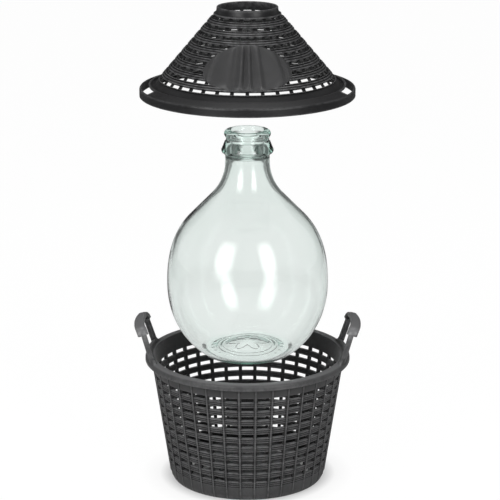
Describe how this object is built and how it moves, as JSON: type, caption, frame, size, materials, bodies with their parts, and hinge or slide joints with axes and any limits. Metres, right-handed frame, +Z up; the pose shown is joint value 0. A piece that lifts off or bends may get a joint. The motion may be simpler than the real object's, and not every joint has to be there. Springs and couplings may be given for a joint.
{
  "type": "glass carboy",
  "caption": "Round glass carboy with a ringed neck, a moulded openwork basket with two handles, and an openwork conical cover that fits over the neck.",
  "frame": {"origin": "middle of the basket's underside, on the upright axis that all three pieces share", "axes": "+Z up along the bottle's axis, +X towards one handle, -Y towards the oval plate on the cover"},
  "size_m": [0.2994, 0.275, 0.628],
  "materials": {
    "basket_plastic": "satin moulded charcoal plastic",
    "carboy_glass": "clear glass with a pale grey-green cast",
    "cover_plastic": "satin moulded charcoal plastic"
  },
  "bodies": {
    "basket": {"basket": "basket_plastic"},
    "carboy": {"carboy": "carboy_glass"},
    "cover": {"cover": "cover_plastic"}
  },
  "joints": [
    {"name": "carboy_lift", "type": "slide", "parent": "basket", "child": "carboy", "axis": [0, 0, 1], "range_m": [-0.1637, 0]},
    {"name": "cover_lift", "type": "slide", "parent": "carboy", "child": "cover", "axis": [0, 0, 1], "range_m": [-0.1915, 0]}
  ]
}
